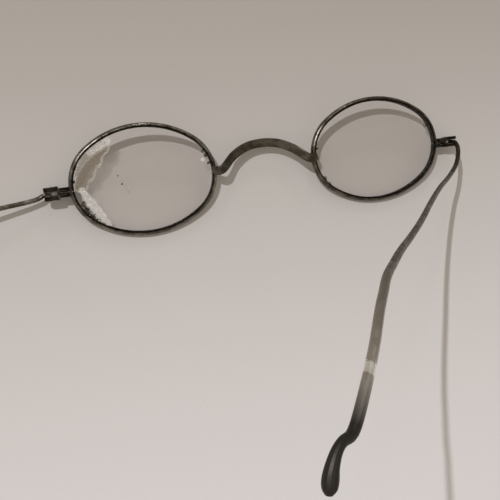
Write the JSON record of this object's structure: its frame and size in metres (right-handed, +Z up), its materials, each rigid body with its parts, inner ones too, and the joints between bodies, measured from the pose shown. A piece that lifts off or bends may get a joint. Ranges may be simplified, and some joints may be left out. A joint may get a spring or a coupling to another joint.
{
  "type": "oval wire spectacles",
  "caption": "Old oval wire spectacles with a flat strip nose bridge and hinged wire side arms, lying face down with an arm swung out and an arm half folded.",
  "frame": {"origin": "middle of the whole piece's box, at table height", "axes": "+X to the right of the picture, along the front and the arm that is swung out; +Y up the picture, towards the top of the lenses; +Z up off the table, towards the wearer's side"},
  "size_m": [0.2522, 0.06, 0.1118],
  "materials": {
    "steel": "worn satin, browned with age",
    "glass": "clear"
  },
  "bodies": {
    "front": {"left_eyewire": "steel", "right_eyewire": "steel", "left_lens": "glass", "right_lens": "glass", "bridge": "steel", "left_upper_block": "steel", "left_lower_block": "steel", "right_upper_block": "steel", "right_lower_block": "steel", "left_screw": "steel", "right_screw": "steel"},
    "left_arm": {"left_arm": "steel"},
    "right_arm": {"right_arm": "steel"}
  },
  "joints": [
    {"name": "left_hinge", "type": "hinge", "parent": "front", "child": "left_arm", "pos_m": [0.01328, 0.0151, 0.00331], "axis": [0, 0.9833, 0.1822], "range_deg": [-12, 158]},
    {"name": "right_hinge", "type": "hinge", "parent": "front", "child": "right_arm", "pos_m": [0.12348, 0.0151, 0.00331], "axis": [0, -0.9833, -0.1822], "range_deg": [-128, 52]}
  ]
}
